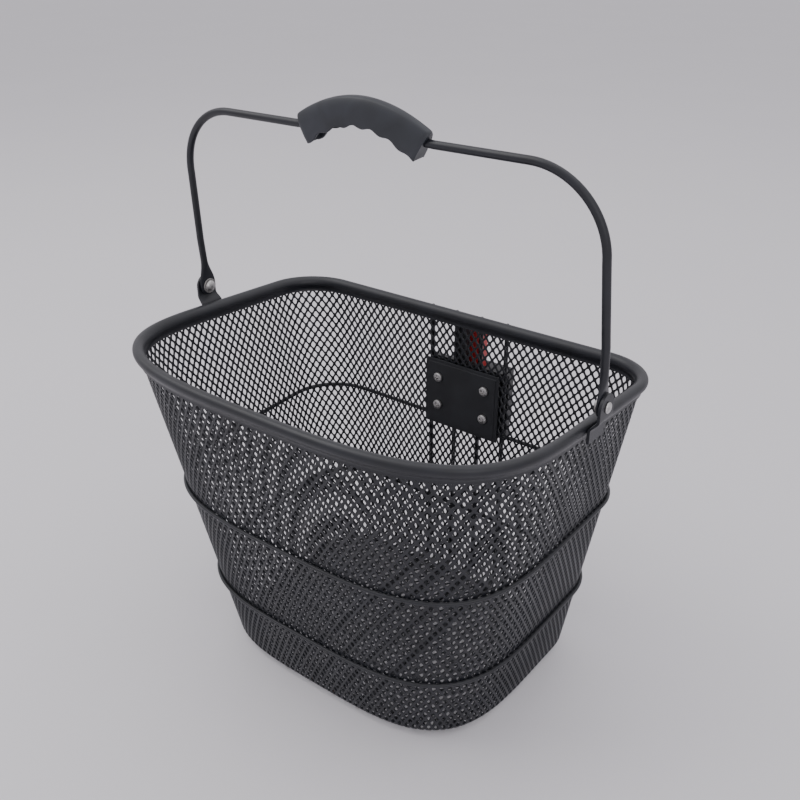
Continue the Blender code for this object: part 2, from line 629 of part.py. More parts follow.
def release_button(parent):
    """Red thumb button: a flat blade with a rounded top and a spring bore in its foot."""
    top_r = BUTTON_CORNER_R
    x0, x1, z1 = -BUTTON_HALF_X, BUTTON_HALF_X, BUTTON_Z[1]
    outline = [(x0, BUTTON_Z[0]), (x1, BUTTON_Z[0])]
    outline += arc((x1 - top_r, z1 - top_r), top_r, 0.0, 90.0, 5)
    outline += arc((x0 + top_r, z1 - top_r), top_r, 90.0, 180.0, 5)
    rings = [[Vector((x, y, z)) for x, z in outline] for y in BUTTON_Y]
    obj = add_object("release_button", loft(rings), material("red_moulded_plastic", RED, 0.4, 0.0), parent)
    middle = Vector((0.0, (BUTTON_Y[0] + BUTTON_Y[1]) / 2.0, 0.0))
    ring = [middle + SPRING_BORE_R * Vector((math.cos(a), math.sin(a), 0.0))
            for a in (2.0 * math.pi * k / 16 for k in range(16))]
    low, high = Vector((0.0, 0.0, BUTTON_Z[0] - 0.001)), Vector((0.0, 0.0, spring_top() + GAP))
    combine(obj, "spring_bore", loft([[p + low for p in ring], [p + high for p in ring]]), parent)


def spring_top():
    return BUTTON_Z[0] + SPRING_BORE_DEPTH


def button_spring(parent):
    """Compression spring between the housing and the foot of the button."""
    bottom = BUTTON_Z[0] - BUTTON_TRAVEL - BUTTON_FLOOR_GAP + GAP + SPRING_WIRE_R
    top = spring_top() - GAP - SPRING_WIRE_R
    centre = Vector((0.0, (BUTTON_Y[0] + BUTTON_Y[1]) / 2.0, 0.0))
    per_turn = 10
    steps = SPRING_TURNS * per_turn
    rings = []
    for k in range(steps + 1):
        angle = 2.0 * math.pi * k / per_turn
        radial = Vector((math.cos(angle), math.sin(angle), 0.0))
        point = centre + SPRING_R * radial + Vector((0.0, 0.0, bottom + (top - bottom) * k / steps))
        rings.append([point + SPRING_WIRE_R * (math.cos(t) * radial + math.sin(t) * Vector((0.0, 0.0, 1.0)))
                      for t in (2.0 * math.pi * s / 6 for s in range(6))])
    add_object("button_spring", loft(rings), plated(), parent)


def latch_pawl(parent):
    """Latch that the button draws back; its nose catches in the bracket's pocket."""
    (y0, y1), (z0, z1) = PAWL_Y, PAWL_Z
    profile = [(y0, z0 + 0.0025), (y0 + 0.0025, z0), (y1, z0), (y1, z1), (y0, z1)]
    add_object("latch_pawl", prism_x(profile, (-PAWL_HALF_X, PAWL_HALF_X)), moulded(), parent)


# ---------------------------------------------------------------- assembly

def empty(name, location, parent=None):
    obj = bpy.data.objects.new(name, None)
    bpy.context.collection.objects.link(obj)
    obj.location = location
    obj.parent = parent
    return obj


def build():
    for obj in list(bpy.data.objects):
        bpy.data.objects.remove(obj, do_unlink=True)
    frame = empty("basket_frame", (0.0, FRAME_Y, 0.0))
    pivot = empty("handle_pivot", PIVOT, frame)
    pivot.rotation_euler = (math.radians(HANDLE_LEAN), 0.0, 0.0)
    for piece in (wall_mesh, floor_mesh, top_rim, hoops, support_wires, ears, backing_plate, basket_bracket,
                  plate_fasteners, adapter_housing, release_button, button_spring, latch_pawl):
        piece(frame)
    for piece in (carry_handle, handle_grip, pivot_hardware):
        piece(pivot)


build()
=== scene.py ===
"""A black expanded-metal handlebar basket with a wire carry handle, on a pale studio floor.

Everything is in metres in the frame of the CAD model: +Z up, +Y towards the handlebar, X along it.
"""
import math

import bmesh
import bpy
import numpy as np
from mathutils import Matrix, Vector


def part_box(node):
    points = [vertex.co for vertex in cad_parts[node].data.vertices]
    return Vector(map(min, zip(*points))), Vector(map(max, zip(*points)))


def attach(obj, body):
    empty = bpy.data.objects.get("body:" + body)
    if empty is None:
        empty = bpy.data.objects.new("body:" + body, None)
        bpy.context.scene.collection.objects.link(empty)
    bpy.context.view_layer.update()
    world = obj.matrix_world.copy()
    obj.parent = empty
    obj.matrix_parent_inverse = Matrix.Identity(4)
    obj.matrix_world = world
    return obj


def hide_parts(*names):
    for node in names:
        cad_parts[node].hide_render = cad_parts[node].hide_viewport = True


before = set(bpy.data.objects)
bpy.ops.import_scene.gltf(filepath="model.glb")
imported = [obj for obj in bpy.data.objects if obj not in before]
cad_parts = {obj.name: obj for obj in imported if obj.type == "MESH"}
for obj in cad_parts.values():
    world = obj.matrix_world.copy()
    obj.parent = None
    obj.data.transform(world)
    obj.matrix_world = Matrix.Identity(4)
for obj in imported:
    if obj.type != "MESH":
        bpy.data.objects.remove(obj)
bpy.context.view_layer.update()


# ---------------------------------------------------------------- camera
# A hand-held phone view from the front right, a little above the rim, with a normal lens.

camera_data = bpy.data.cameras.new("camera")
camera_data.lens = 42.84
camera_data.sensor_width = 36.0
camera = bpy.data.objects.new("camera", camera_data)
bpy.context.scene.collection.objects.link(camera)
camera.location = (0.3916, -0.4952, 0.5399)
looking = Vector((-0.5418, 0.7076, -0.4536))
camera.rotation_euler = looking.to_track_quat("-Z", "Y").to_euler()
bpy.context.scene.camera = camera


# ---------------------------------------------------------------- expanded-metal wall
# One sheet of steel, slit and stretched into diamond mesh, drawn into a tapering D-shaped bowl.
# Its lower edge is folded in under the floor. The whole basket is powder coated black after welding.

BASKET_Y = 0.0010            # the bowl's own plan is drawn about this y
RIM_PLAN = dict(half_width=0.167, back=0.101, front=-0.138, side_end=-0.018, corner=0.040, fullness=3.3)
FOOT_PLAN = dict(half_width=0.126, back=0.101, front=-0.0923, side_end=0.030, corner=0.044, fullness=3.7)
RIM_HEIGHT, RIM_TILT = 0.2559, -0.047
FOLD_R = 0.007
FOLD_Z = 0.0045              # middle of the sheet where it lies folded under the floor
FOOT_HEIGHT = FOLD_Z + FOLD_R
FLANGE = 0.010
WALL_TALL = RIM_HEIGHT - FOOT_HEIGHT

SHEET_T = 0.0009             # thickness of the strands
STRAND_W = 0.0015
STRAND_LEAN = 0.00032        # how far a strand's edges stand out of and into the sheet
COLUMNS = 146
ROW_TOP, ROW_FOOT = 0.0046, 0.0051
LATTICE = 3                  # lattice steps from an opening's middle to its corner
CORNER_CUT, TIP_CUT = 0.25, 0.86


def d_plan(half_width, back, front, side_end, corner, fullness):
    """A D-shaped outline as (share of the way round, x, y), from the middle of the back and through +X."""
    turn = np.radians(np.linspace(90.0, 0.0, 33))
    x = [0.0, *(half_width - corner + corner * np.cos(turn))]
    y = [back, *(back - corner + corner * np.sin(turn))]
    bend = np.linspace(0.0, np.pi / 2.0, 241)[1:]
    x += list(half_width * np.abs(np.cos(bend)) ** (2.0 / fullness))
    y += list(side_end - (side_end - front) * np.sin(bend) ** (2.0 / fullness))
    x[-1] = 0.0
    x, y = np.array(x), np.array(y)
    run = np.concatenate([[0.0], np.cumsum(np.hypot(np.diff(x), np.diff(y)))])
    share = 0.5 * run / run[-1]
    share = np.concatenate([share, 1.0 - share[-2::-1]])
    return share, np.concatenate([x, -x[-2::-1]]), np.concatenate([y, y[-2::-1]]) + BASKET_Y, 2.0 * run[-1]


RIM_LINE, FOOT_LINE = d_plan(**RIM_PLAN), d_plan(**FOOT_PLAN)


def plan_at(line, u):
    u = np.mod(u, 1.0)
    return np.stack([np.interp(u, line[0], line[1]), np.interp(u, line[0], line[2])], axis=-1)


def wall_at(u, height):
    """Point and level outward direction of the wall at u round the bowl and height share 0 to 1."""
    def level(v):
        low, high = plan_at(FOOT_LINE, v), plan_at(RIM_LINE, v)
        return low + (high - low) * height[..., None]
    step = 0.002
    plan = level(u)
    along = level(u + step) - level(u - step)
    out = np.stack([-along[..., 1], along[..., 0]], axis=-1)
    out /= np.linalg.norm(out, axis=-1, keepdims=True)
    rim_z = RIM_HEIGHT + RIM_TILT * (plan_at(RIM_LINE, u)[..., 1] - BASKET_Y)
    z = FOOT_HEIGHT + (rim_z - FOOT_HEIGHT) * height
    return np.concatenate([plan, z[..., None]], axis=-1), np.concatenate([out, 0.0 * z[..., None]], axis=-1)


def sheet_at(u, height):
    """Point and outward normal of the bent sheet; height below 0 runs on round the fold and flange."""
    point, out = wall_at(u, np.maximum(height, 0.0))
    down = np.maximum(-height, 0.0) * WALL_TALL
    angle = np.minimum(down / FOLD_R, np.pi / 2.0)
    flat = np.maximum(down - FOLD_R * np.pi / 2.0, 0.0)
    up = np.array([0.0, 0.0, 1.0])
    point = point + out * (FOLD_R * (np.cos(angle) - 1.0) - flat)[..., None]
    point = point - up * (FOLD_R * np.sin(angle))[..., None]
    return point, out * np.cos(angle)[..., None] - up * np.sin(angle)[..., None]


def mesh_rows():
    """Heights of the rows of bonds, from just inside the rim down to the flange's cut edge."""
    heights = [0.990]
    lowest = -(FOLD_R * math.pi / 2.0 + FLANGE) / WALL_TALL
    while heights[-1] > lowest:
        share = max(heights[-1], 0.0)
        heights.append(heights[-1] - (ROW_FOOT + (ROW_TOP - ROW_FOOT) * share) / WALL_TALL)
    return np.array(heights[:-1])


RING = [(3, 0), (2, 1), (1, 2), (0, 3), (-1, 2), (-2, 1), (-3, 0), (-2, -1), (-1, -2), (0, -3), (1, -2), (2, -1)]


def opening_ring(scale):
    """Twelve points round a rounded diamond opening, in lattice steps from its middle."""
    points = []
    for i, j in RING:
        if i == 0 or j == 0:
            points.append((TIP_CUT * i, TIP_CUT * j))
        elif abs(i) > abs(j):
            points.append((LATTICE * (1.0 - CORNER_CUT) * np.sign(i), LATTICE * CORNER_CUT * np.sign(j)))
        else:
            points.append((LATTICE * CORNER_CUT * np.sign(i), LATTICE * (1.0 - CORNER_CUT) * np.sign(j)))
    return np.array(points)[None, :, :] * scale[:, None, None]


def expanded_metal(name, cells, half_wide, half_tall, place, wrap=None):
    """Builds mesh whose openings are centred on lattice points: rings of strand round every opening.

    place turns lattice coordinates into points and normals; half_wide and half_tall are each opening's
    half diagonals in metres, from which the strands keep one width.
    """
    count = len(cells)
    outer = cells[:, None, :] + np.array(RING)[None, :, :]
    if wrap:
        outer[..., 0] %= wrap
    keys, index = np.unique(outer.reshape(-1, 2), axis=0, return_inverse=True)
    index = index.reshape(count, 12)
    slim = 1.0 - 0.5 * STRAND_W * np.hypot(half_wide, half_tall) / (half_wide * half_tall)
    ring = opening_ring(slim)
    holes = (cells[:, None, :] + ring).reshape(-1, 2)
    lean = np.concatenate([np.zeros(len(keys)), STRAND_LEAN * (ring[..., 1] / LATTICE).reshape(-1)])
    where = np.concatenate([keys.astype(float), holes])
    point, normal = place(where[:, 0], where[:, 1])
    outside = point + normal * (lean + SHEET_T / 2.0)[:, None]
    inside = point + normal * (lean - SHEET_T / 2.0)[:, None]
    total = len(where)
    hole = len(keys) + np.arange(count * 12).reshape(count, 12)
    nxt = np.roll(np.arange(12), -1)
    a, b, c, d = index, index[:, nxt], hole[:, nxt], hole
    front = np.stack([a, b, c, d], axis=-1).reshape(-1, 4)
    back = np.stack([d, c, b, a], axis=-1).reshape(-1, 4) + total
    wall = np.stack([d, c, c + total, d + total], axis=-1).reshape(-1, 4)
    edges = np.stack([a, b], axis=-1).reshape(-1, 2)
    low, high = edges.min(axis=1), edges.max(axis=1)
    _, first, uses = np.unique(low * total + high, return_index=True, return_counts=True)
    rim = edges[first[uses == 1]]
    cut = np.stack([rim[:, 1], rim[:, 0], rim[:, 0] + total, rim[:, 1] + total], axis=-1)
    faces = np.concatenate([front, back, wall, cut])
    mesh = bpy.data.meshes.new(name)
    mesh.from_pydata(np.concatenate([outside, inside]).tolist(), [], faces.tolist())
    mesh.shade_smooth()
    mesh.set_sharp_from_angle(angle=math.radians(50.0))
    obj = bpy.data.objects.new(name, mesh)
    bpy.context.scene.collection.objects.link(obj)
    return obj


def powder_coat(name, colour, dust=0.05, gloss=0.42, bare_below=None):
    """Sprayed and baked polyester powder on steel: satin, faintly pebbled, with a little settled dust.

    bare_below is a Y under which the coat has rubbed through and the steel has gone brown.
    """
    mat = bpy.data.materials.new(name)
    mat.use_nodes = True
    tree = mat.node_tree
    tree.nodes.clear()

    shade_frame = tree.nodes.new("NodeFrame")
    shade_frame.label = "coat colour"
    pebble_frame = tree.nodes.new("NodeFrame")
    pebble_frame.label = "coat texture"
    dust_frame = tree.nodes.new("NodeFrame")
    dust_frame.label = "settled dust"

    place = tree.nodes.new("ShaderNodeTexCoord")
    place.label = "metres on the basket"
    place.location = (-1400, 0)

    batch = tree.nodes.new("ShaderNodeTexNoise")
    batch.label = "thick and thin coat"
    batch.location = (-1150, 260)
    batch.parent = shade_frame
    batch.inputs["Scale"].default_value = 55.0
    batch.inputs["Detail"].default_value = 4.0

    tones = tree.nodes.new("ShaderNodeValToRGB")
    tones.label = "coat tones"
    tones.location = (-920, 260)
    tones.parent = shade_frame
    tones.color_ramp.elements[0].position = 0.35
    tones.color_ramp.elements[0].color = (*[0.78 * c for c in colour], 1.0)
    tones.color_ramp.elements[1].position = 0.70
    tones.color_ramp.elements[1].color = (*[1.25 * c for c in colour], 1.0)

    pebble = tree.nodes.new("ShaderNodeTexNoise")
    pebble.label = "pebbled skin"
    pebble.location = (-1150, -260)
    pebble.parent = pebble_frame
    pebble.inputs["Scale"].default_value = 1500.0
    pebble.inputs["Detail"].default_value = 2.0

    relief = tree.nodes.new("ShaderNodeBump")
    relief.label = "skin relief"
    relief.location = (-700, -260)
    relief.parent = pebble_frame
    relief.inputs["Strength"].default_value = 0.35
    relief.inputs["Distance"].default_value = 0.0002

    handled = tree.nodes.new("ShaderNodeTexNoise")
    handled.label = "handled and unhandled areas"
    handled.location = (-1150, -20)
    handled.parent = pebble_frame
    handled.inputs["Scale"].default_value = 18.0
    handled.inputs["Detail"].default_value = 5.0

    shine = tree.nodes.new("ShaderNodeMapRange")
    shine.label = "satin, duller where unhandled"
    shine.location = (-700, -20)
    shine.parent = pebble_frame
    shine.inputs["From Min"].default_value = 0.3
    shine.inputs["From Max"].default_value = 0.7
    shine.inputs["To Min"].default_value = gloss - 0.06
    shine.inputs["To Max"].default_value = gloss + 0.08

    facing = tree.nodes.new("ShaderNodeNewGeometry")
    facing.label = "way the surface faces"
    facing.location = (-1400, 560)
    facing.parent = dust_frame

    parts = tree.nodes.new("ShaderNodeSeparateXYZ")
    parts.label = "how far it faces up"
    parts.location = (-1150, 560)
    parts.parent = dust_frame

    upward = tree.nodes.new("ShaderNodeMapRange")
    upward.label = "dust lies on tops"
    upward.location = (-920, 560)
    upward.parent = dust_frame
    upward.inputs["From Min"].default_value = 0.35
    upward.inputs["From Max"].default_value = 1.0
    upward.inputs["To Min"].default_value = 0.0
    upward.inputs["To Max"].default_value = dust

    dusty = tree.nodes.new("ShaderNodeMix")
    dusty.label = "dust over the coat"
    dusty.data_type = "RGBA"
    dusty.location = (-520, 300)
    dusty.inputs[7].default_value = (0.15, 0.15, 0.155, 1.0)

    shader = tree.nodes.new("ShaderNodeBsdfPrincipled")
    shader.label = "baked powder"
    shader.location = (-60, 100)
    shader.inputs["IOR"].default_value = 1.48

    output = tree.nodes.new("ShaderNodeOutputMaterial")
    output.location = (240, 100)

    tree.links.new(place.outputs["Object"], batch.inputs["Vector"])
    tree.links.new(place.outputs["Object"], pebble.inputs["Vector"])
    tree.links.new(place.outputs["Object"], handled.inputs["Vector"])
    tree.links.new(batch.outputs["Fac"], tones.inputs["Fac"])
    tree.links.new(pebble.outputs["Fac"], relief.inputs["Height"])
    tree.links.new(handled.outputs["Fac"], shine.inputs["Value"])
    tree.links.new(facing.outputs["Normal"], parts.inputs["Vector"])
    tree.links.new(parts.outputs["Z"], upward.inputs["Value"])
    tree.links.new(upward.outputs["Result"], dusty.inputs["Factor"])
    tree.links.new(tones.outputs["Color"], dusty.inputs[6])
    tree.links.new(shine.outputs["Result"], shader.inputs["Roughness"])
    tree.links.new(relief.outputs["Normal"], shader.inputs["Normal"])
    tree.links.new(shader.outputs["BSDF"], output.inputs["Surface"])
    if bare_below is None:
        tree.links.new(dusty.outputs[2], shader.inputs["Base Color"])
        return mat

    rust_frame = tree.nodes.new("NodeFrame")
    rust_frame.label = "rubbed tip"
    along = tree.nodes.new("ShaderNodeSeparateXYZ")
    along.label = "place along the wire"
    along.location = (-1150, 860)
    along.parent = rust_frame
    ragged = tree.nodes.new("ShaderNodeTexNoise")
    ragged.label = "ragged edge of the rubbing"
    ragged.location = (-1150, 1060)
    ragged.parent = rust_frame
    ragged.inputs["Scale"].default_value = 420.0
    shift = tree.nodes.new("ShaderNodeMath")
    shift.label = "edge moved by the noise"
    shift.operation = "MULTIPLY_ADD"
    shift.location = (-920, 960)
    shift.parent = rust_frame
    shift.inputs[1].default_value = 0.008
    rubbed = tree.nodes.new("ShaderNodeMapRange")
    rubbed.label = "coat to bare steel"
    rubbed.location = (-700, 960)
    rubbed.parent = rust_frame
    rubbed.inputs["From Min"].default_value = bare_below + 0.0055
    rubbed.inputs["From Max"].default_value = bare_below + 0.0035
    brown = tree.nodes.new("ShaderNodeMix")
    brown.label = "brown steel"
    brown.data_type = "RGBA"
    brown.location = (-300, 300)
    brown.inputs[7].default_value = (0.16, 0.085, 0.045, 1.0)
    tree.links.new(place.outputs["Object"], along.inputs["Vector"])
    tree.links.new(place.outputs["Object"], ragged.inputs["Vector"])
    tree.links.new(ragged.outputs["Fac"], shift.inputs[0])
    tree.links.new(along.outputs["Y"], shift.inputs[2])
    tree.links.new(shift.outputs["Value"], rubbed.inputs["Value"])
    tree.links.new(rubbed.outputs["Result"], brown.inputs["Factor"])
    tree.links.new(dusty.outputs[2], brown.inputs[6])
    tree.links.new(brown.outputs[2], shader.inputs["Base Color"])
    return mat


coat_on_mesh = powder_coat("coat_on_mesh", (0.0084, 0.0096, 0.0138), dust=0.05)

row_heights = mesh_rows()
steps_round = 2 * LATTICE * COLUMNS


def place_on_wall(i, j):
    height = np.interp(-j / LATTICE, np.arange(len(row_heights)), row_heights)
    return sheet_at(i / steps_round, height)


wall_cells = []
for row in range(1, len(row_heights) - 1):
    shift = 0 if row % 2 else LATTICE
    wall_cells += [(2 * LATTICE * column + shift, -LATTICE * row) for column in range(COLUMNS)]
wall_cells = np.array(wall_cells)
cell_height = row_heights[-wall_cells[:, 1] // LATTICE]
around = FOOT_LINE[3] + (RIM_LINE[3] - FOOT_LINE[3]) * np.maximum(cell_height, 0.0)
cell_half_wide = around / COLUMNS / 2.0
cell_half_tall = ROW_FOOT + (ROW_TOP - ROW_FOOT) * np.maximum(cell_height, 0.0)
quarter = ((wall_cells[:, 0] + steps_round // 8) % steps_round) * 4 // steps_round
for number, side in enumerate(("back", "right", "front", "left")):
    mine = quarter == number
    net = expanded_metal(f"wall_net_{side}", wall_cells[mine], cell_half_wide[mine], cell_half_tall[mine],
                         place_on_wall, wrap=steps_round)
    net.data.materials.append(coat_on_mesh)
    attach(net, "basket")
    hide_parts("wall_mesh")


# ---------------------------------------------------------------- floor
# A flat piece of the same expanded metal, laid on the wall's folded flange and spot welded to it.

FLOOR_Z = 0.0060
FLOOR_INSET = 0.0065
FLOOR_HALF_WIDE, FLOOR_HALF_TALL = 0.0034, 0.0048


def place_on_floor(i, j):
    x, y = i / LATTICE * FLOOR_HALF_WIDE, j / LATTICE * FLOOR_HALF_TALL + BASKET_Y
    point = np.stack([x, y, 0.0 * i + FLOOR_Z], axis=-1)
    return point, np.tile((0.0, 0.0, 1.0), (len(i), 1))


def inside_floor(x, y):
    """True where a point lies inside the foot outline by the inset."""
    u = np.linspace(0.0, 1.0, 721)[:-1]
    edge = plan_at(FOOT_LINE, u)
    edge_angle, edge_reach = np.arctan2(edge[:, 1], edge[:, 0]), np.hypot(edge[:, 0], edge[:, 1])
    order = np.argsort(edge_angle)
    reach = np.interp(np.arctan2(y, x), edge_angle[order], edge_reach[order], period=2 * np.pi)
    return np.hypot(x, y) < reach - FLOOR_INSET


FLOOR_ROWS, FLOOR_COLUMNS = 24, 22     # more than enough either side of the middle

floor_cells = []
for row in range(-FLOOR_ROWS, FLOOR_ROWS + 1):
    for column in range(-FLOOR_COLUMNS, FLOOR_COLUMNS + 1):
        i, j = 2 * LATTICE * column + (LATTICE if row % 2 else 0), LATTICE * row
        corners = np.array([(i + a, j + b) for a, b in ((3, 0), (-3, 0), (0, 3), (0, -3))], float)
        spots = place_on_floor(corners[:, 0], corners[:, 1])[0]
        if inside_floor(spots[:, 0], spots[:, 1]).all():
            floor_cells.append((i, j))
floor_cells = np.array(floor_cells)
floor_net = expanded_metal("floor_net", floor_cells, np.full(len(floor_cells), FLOOR_HALF_WIDE),
                           np.full(len(floor_cells), FLOOR_HALF_TALL), place_on_floor)
floor_net.data.materials.append(coat_on_mesh)
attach(floor_net, "basket")
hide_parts("floor_mesh")


# ---------------------------------------------------------------- rim
# A strip of thin sheet rolled round the mesh's top edge: a round bead whose two skirts are pinched
# onto the mesh.

BEAD_R = 0.0045
RIM_SHEET = 0.0009
SKIRT_HALF = 0.0019
SKIRT_END_Z = -0.0078
SKIRT_KNEE_Z = -0.0058       # where the pinched skirt begins to open into the bead
THROAT_Z = -0.0049
INNER_KNEE_Z = -0.0055
SKIRT_FLARE = 0.0002
RIM_STATIONS = 320


def loft(name, rings, closed=False, sharp=40.0):
    """Skins equal rings of points into one smooth-shaded piece; an open loft gets end faces."""
    bm = bmesh.new()
    rows = [[bm.verts.new(p) for p in ring] for ring in rings]
    count = len(rows[0])
    for r in range(len(rows) if closed else len(rows) - 1):
        low, high = rows[r], rows[(r + 1) % len(rows)]
        for k in range(count):
            n = (k + 1) % count
            bm.faces.new((low[k], low[n], high[n], high[k]))
    if not closed:
        bm.faces.new(rows[0])
        bm.faces.new(list(reversed(rows[-1])))
    bmesh.ops.recalc_face_normals(bm, faces=bm.faces)
    mesh = bpy.data.meshes.new(name)
    bm.to_mesh(mesh)
    bm.free()
    mesh.shade_smooth()
    mesh.set_sharp_from_angle(angle=math.radians(sharp))
    obj = bpy.data.objects.new(name, mesh)
    bpy.context.scene.collection.objects.link(obj)
    return obj


def round_the_bowl(name, section, height_at, stations=RIM_STATIONS):
    """Carries a closed (outward, up) section round the wall at the height shares that height_at gives."""
    u = np.arange(stations) / stations
    point, out = wall_at(u, height_at(u))
    foot, rim = wall_at(u, 0.0 * u)[0], wall_at(u, 0.0 * u + 1.0)[0]
    lean = (rim - foot) / (rim - foot)[:, 2:]
    rings = [[Vector(point[k] + a * out[k] + b * lean[k]) for a, b in section] for k in range(stations)]
    return loft(name, rings, closed=True)


def arc(centre, radius, start, end, steps):
    angles = np.radians(np.linspace(start, end, steps + 1))
    return [(centre[0] + radius * math.cos(a), centre[1] + radius * math.sin(a)) for a in angles]


coat_on_steel = powder_coat("coat_on_steel", (0.0096, 0.0108, 0.0150), dust=0.10)

skirt_in = SKIRT_HALF - RIM_SHEET
outer_skirt = [(SKIRT_HALF + SKIRT_FLARE, SKIRT_END_Z), (SKIRT_HALF, SKIRT_END_Z + 0.0012),
               (SKIRT_HALF, SKIRT_KNEE_Z), (SKIRT_HALF + 0.0005, THROAT_Z)]
rim_section = outer_skirt + arc((0.0, 0.0), BEAD_R, -48.0, 228.0, 26)
rim_section += [(-out, up) for out, up in reversed(outer_skirt)]
rim_section += [(-skirt_in, SKIRT_END_Z - 0.0001), (-skirt_in, INNER_KNEE_Z)]
rim_section += arc((0.0, 0.0), BEAD_R - RIM_SHEET, 225.0, -45.0, 18)
rim_section += [(skirt_in, INNER_KNEE_Z), (skirt_in, SKIRT_END_Z - 0.0001)]
rim = round_the_bowl("rolled_rim", rim_section, lambda u: 0.0 * u + 1.0)
rim.data.materials.append(coat_on_steel)
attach(rim, "basket")
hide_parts("top_rim")


# ---------------------------------------------------------------- hoops
# Two 3.2 mm steel wires bent to the bowl's outline and spot welded to the outside of the mesh, which
# the weld presses them into.

WIRE_R = 0.0018
HOOP_R = 0.0016
HOOP_OUT = 0.0020
HOOPS = (("lower_hoop", "hoop_lower", 0.0667, 0.036), ("upper_hoop", "hoop_upper", 0.1524, 0.028))

for name, node, hoop_z, hoop_tilt in HOOPS:
    def hoop_height(u, hoop_z=hoop_z, hoop_tilt=hoop_tilt):
        foot, top = wall_at(u, 0.0 * u)[0], wall_at(u, 0.0 * u + 1.0)[0]
        wanted = hoop_z + hoop_tilt * (foot[:, 1] - BASKET_Y) - foot[:, 2]
        return wanted / ((top[:, 2] - foot[:, 2]) - hoop_tilt * (top[:, 1] - foot[:, 1]))
    hoop = round_the_bowl(name, arc((HOOP_OUT, 0.0), HOOP_R, 0.0, 337.5, 15), hoop_height)
    hoop.data.materials.append(coat_on_steel)
    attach(hoop, "basket")
    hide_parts(node)


# ---------------------------------------------------------------- support wires
# Four wires welded outside the hoops, down the back, under the floor and forward to the front edge,
# where their cut ends have lost their coat.

WIRE_X = (-0.036, -0.012, 0.012, 0.036)
WIRE_BACK_Y = RIM_PLAN["back"] + 0.0006 + 3.0 * WIRE_R + 0.0009 + BASKET_Y
WIRE_TOP_Z = 0.2530
WIRE_BEND_R = 0.012
WIRE_FRONT_Y = -0.086 + BASKET_Y
TIP_STEPS = ((0.0, 0.0010), (0.0006, 0.0015), (0.0018, WIRE_R))   # distance from a cut end, radius there


def tube(name, path, radii, sides=16, across=Vector((1.0, 0.0, 0.0))):
    """A round bar along a path that lies in the plane square to across, with a radius at each point."""
    rings = []
    for k, point in enumerate(path):
        along = (path[min(k + 1, len(path) - 1)] - path[max(k - 1, 0)]).normalized()
        side = along.cross(across).normalized()
        rings.append([point + radii[k] * (math.cos(t) * across + math.sin(t) * side)
                      for t in np.arange(sides) * 2.0 * math.pi / sides])
    return loft(name, rings)


coat_on_tips = powder_coat("coat_on_support_wires", (0.0096, 0.0108, 0.0150), dust=0.08,
                           bare_below=WIRE_FRONT_Y)
for number, x in enumerate(WIRE_X, start=1):
    bend = arc((WIRE_BACK_Y - WIRE_BEND_R, WIRE_R + WIRE_BEND_R), WIRE_BEND_R, 0.0, -90.0, 14)
    route = [(WIRE_BACK_Y, WIRE_TOP_Z - along) for along, _ in TIP_STEPS]
    route += [(WIRE_BACK_Y, 0.17), (WIRE_BACK_Y, 0.09), *bend, (0.02, WIRE_R)]
    route += [(WIRE_FRONT_Y + along, WIRE_R) for along, _ in reversed(TIP_STEPS)]
    tip_radii = [radius for _, radius in TIP_STEPS]
    radii = tip_radii + [WIRE_R] * (len(route) - 2 * len(tip_radii)) + tip_radii[::-1]
    wire = tube(f"floor_wire_{number}", [Vector((x, y, z)) for y, z in route], radii)
    wire.data.materials.append(coat_on_tips)
    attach(wire, "basket")
    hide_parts(f"support_wire_{number}")


# ---------------------------------------------------------------- ears
# Two stamped tabs welded to the outside of the rim, joggled outwards so that the handle's arms turn
# inside them.

PIVOT = Vector((0.0, -0.0100, 0.2729))
EAR_T = 0.0020
EAR_FOOT_X, EAR_HEAD_X = 0.1719, 0.1772
EAR_FOOT_Z = 0.2495
EAR_JOGGLE_Z = (0.2580, 0.2655)
EAR_TAPER_Z = (0.2590, 0.2660)
EAR_HEAD_R = 0.0090
EAR_FOOT_WIDER = 0.0010      # on each side, against the round head


def smooth_step(value, low, high):
    t = min(max((value - low) / (high - low), 0.0), 1.0)
    return t * t * (3.0 - 2.0 * t)


def ear(name, side):
    rings = []
    heights = list(np.linspace(EAR_FOOT_Z, PIVOT.z, 18))
    heights += [PIVOT.z + EAR_HEAD_R * math.sin(a) for a in np.linspace(0.12, 1.50, 12)]
    for z in heights:
        above = max(z - PIVOT.z, 0.0)
        half = math.sqrt(max(EAR_HEAD_R ** 2 - above ** 2, 1e-7))
        half += EAR_FOOT_WIDER * (1.0 - smooth_step(z, *EAR_TAPER_Z))
        inner = EAR_FOOT_X + (EAR_HEAD_X - EAR_FOOT_X) * smooth_step(z, *EAR_JOGGLE_Z)
        outline = [(inner, -half), (inner + EAR_T, -half), (inner + EAR_T, half), (inner, half)]
        rings.append([Vector((side * x, PIVOT.y + y, z)) for x, y in outline])
    obj = loft(name, rings, sharp=30.0)
    edge = obj.modifiers.new("stamped edge", "BEVEL")
    edge.width = 0.00035
    edge.segments = 2
    edge.limit_method = "ANGLE"
    edge.angle_limit = math.radians(50.0)
    return obj


for side_name, side in (("left", -1.0), ("right", 1.0)):
    tab = ear(f"handle_ear_{side_name}", side)
    tab.data.materials.append(coat_on_steel)
    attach(tab, "basket")
    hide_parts(f"ear_{side_name}")


# ---------------------------------------------------------------- carry handle
# A 5.5 mm steel wire bent into a square bail and arched under the grip. Its ends are pressed flat
# into round spades that turn on the rivets. It stands up by the rivets' friction.

LEAN = math.radians(5.0)
ARM_X = 0.1757
ARM_R = 0.00275
CORNER_R = 0.051
CROSSBAR = 0.1447
SHOULDER_X = 0.1728
ARCH_RISE, ARCH_HALF = 0.0125, 0.056
SPADE_R, SPADE_HALF_T = 0.0075, 0.0012

on_pivot = Matrix.Translation(PIVOT) @ Matrix.Rotation(LEAN, 4, "X")


